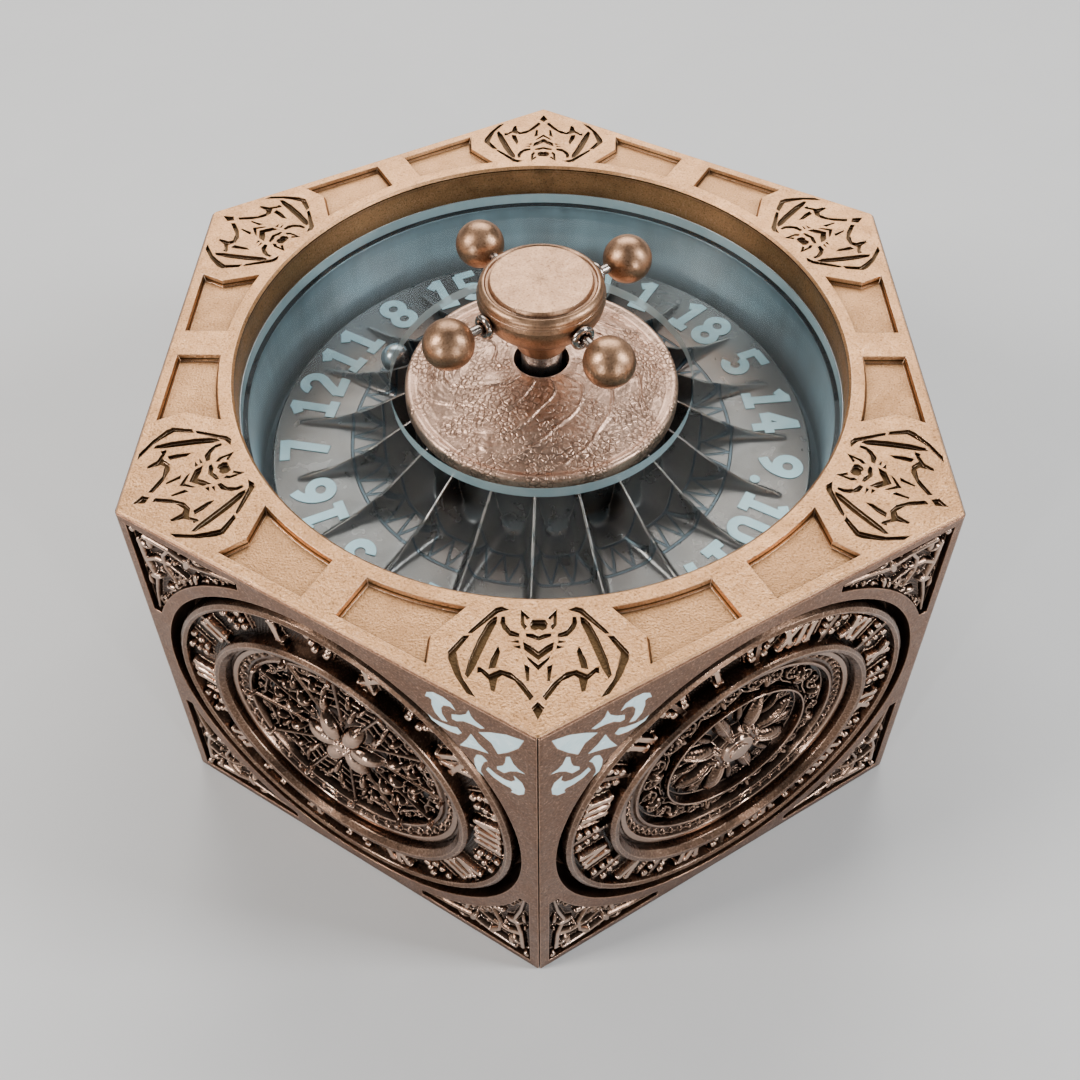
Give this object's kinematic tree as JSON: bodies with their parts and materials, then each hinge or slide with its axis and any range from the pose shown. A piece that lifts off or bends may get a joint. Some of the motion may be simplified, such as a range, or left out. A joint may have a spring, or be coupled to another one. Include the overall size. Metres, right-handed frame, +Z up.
{
  "type": "roulette wheel",
  "caption": "Hexagonal desk roulette: a numbered wheel with thin fins under a ring window, a domed centre, a turret knob with ball ended arms and a turning dial on every side",
  "frame": {"origin": "centre of the underside, on the wheel's axis", "axes": "+Z up along the wheel's axis, -Y towards the front corner of the hexagon, +X to the right"},
  "size_m": [0.091, 0.1036, 0.0623],
  "materials": {
    "top_copper": "sand blasted antique copper, bright worn edges",
    "side_copper": "sand blasted antique copper, brown",
    "base_copper": "plain antique copper",
    "bowl_copper": "turned and darkened copper",
    "wheel_copper": "dark antique copper, bright fin crests",
    "dome_copper": "embossed antique copper, polished high points",
    "knob_copper": "satin antique copper",
    "dial_bronze": "dark bronze, worn rims",
    "medallion_bronze": "dark polished bronze relief",
    "worn_nickel": "polished, slightly tarnished",
    "steel": "polished steel",
    "cage_brass": "stamped brass",
    "clear_window": "clear, pale cyan at its edges",
    "seal_rubber": "thin soft seal",
    "pale_enamel": "pale blue enamel, softly glossy"
  },
  "bodies": {
    "case": {"top_plate": "top_copper", "base_plate": "base_copper", "side_panel_1": "side_copper", "side_panel_2": "side_copper", "side_panel_3": "side_copper", "side_panel_4": "side_copper", "side_panel_5": "side_copper", "side_panel_6": "side_copper", "corner_posts": "steel", "base_screws": "steel", "corner_inlays": "pale_enamel", "track_bowl": "bowl_copper", "window": "clear_window", "window_gasket": "seal_rubber", "bearing_outer_race": "steel", "bearing_clip": "steel", "dial_washers": "steel"},
    "rotor": {"wheel_disc": "wheel_copper", "wheel_numerals": "pale_enamel", "pocket_crown": "wheel_copper", "centre_dome": "dome_copper", "spindle": "steel", "rotor_nut": "steel", "spindle_nut": "steel", "bearing_inner_race": "steel", "knob_body": "knob_copper", "knob_cap": "knob_copper", "knob_arms": "worn_nickel", "knob_screw": "steel", "arm_collars": "worn_nickel", "arm_balls": "knob_copper"},
    "bearing_set": {"bearing_balls": "steel", "bearing_cage": "cage_brass"},
    "ball": {"roulette_ball": "steel"},
    "dial_1": {"dial_ring_1": "dial_bronze", "dial_medallion_1": "medallion_bronze", "dial_screw_1": "steel"},
    "dial_2": {"dial_ring_2": "dial_bronze", "dial_medallion_2": "medallion_bronze", "dial_screw_2": "steel"},
    "dial_3": {"dial_ring_3": "dial_bronze", "dial_medallion_3": "medallion_bronze", "dial_screw_3": "steel"},
    "dial_4": {"dial_ring_4": "dial_bronze", "dial_medallion_4": "medallion_bronze", "dial_screw_4": "steel"},
    "dial_5": {"dial_ring_5": "dial_bronze", "dial_medallion_5": "medallion_bronze", "dial_screw_5": "steel"},
    "dial_6": {"dial_ring_6": "dial_bronze", "dial_medallion_6": "medallion_bronze", "dial_screw_6": "steel"}
  },
  "joints": [
    {"name": "wheel_spin", "type": "hinge", "parent": "case", "child": "rotor", "pos_m": [0, 0, 0.029], "axis": [0, 0, 1], "continuous": true},
    {"name": "bearing_turn", "type": "hinge", "parent": "case", "child": "bearing_set", "pos_m": [0, 0, 0.0289], "axis": [0, 0, 1], "continuous": true},
    {"name": "ball_roll", "type": "slide", "parent": "rotor", "child": "ball", "axis": [-0.8721, 0.4894, 0], "range_m": [-0.004, 0.01]},
    {"name": "dial_1_turn", "type": "hinge", "parent": "case", "child": "dial_1", "pos_m": [-0.0225, -0.03897, 0.026], "axis": [-0.5, -0.866, 0], "continuous": true},
    {"name": "dial_2_turn", "type": "hinge", "parent": "case", "child": "dial_2", "pos_m": [0.0225, -0.03897, 0.026], "axis": [0.5, -0.866, 0], "continuous": true},
    {"name": "dial_3_turn", "type": "hinge", "parent": "case", "child": "dial_3", "pos_m": [0.045, 0, 0.026], "axis": [1, 0, 0], "continuous": true},
    {"name": "dial_4_turn", "type": "hinge", "parent": "case", "child": "dial_4", "pos_m": [0.0225, 0.03897, 0.026], "axis": [0.5, 0.866, 0], "continuous": true},
    {"name": "dial_5_turn", "type": "hinge", "parent": "case", "child": "dial_5", "pos_m": [-0.0225, 0.03897, 0.026], "axis": [-0.5, 0.866, 0], "continuous": true},
    {"name": "dial_6_turn", "type": "hinge", "parent": "case", "child": "dial_6", "pos_m": [-0.045, 0, 0.026], "axis": [-1, 0, 0], "continuous": true}
  ],
  "couplings": [
    {"joint": "bearing_turn", "follows": "wheel_spin", "ratio": 0.3571}
  ]
}
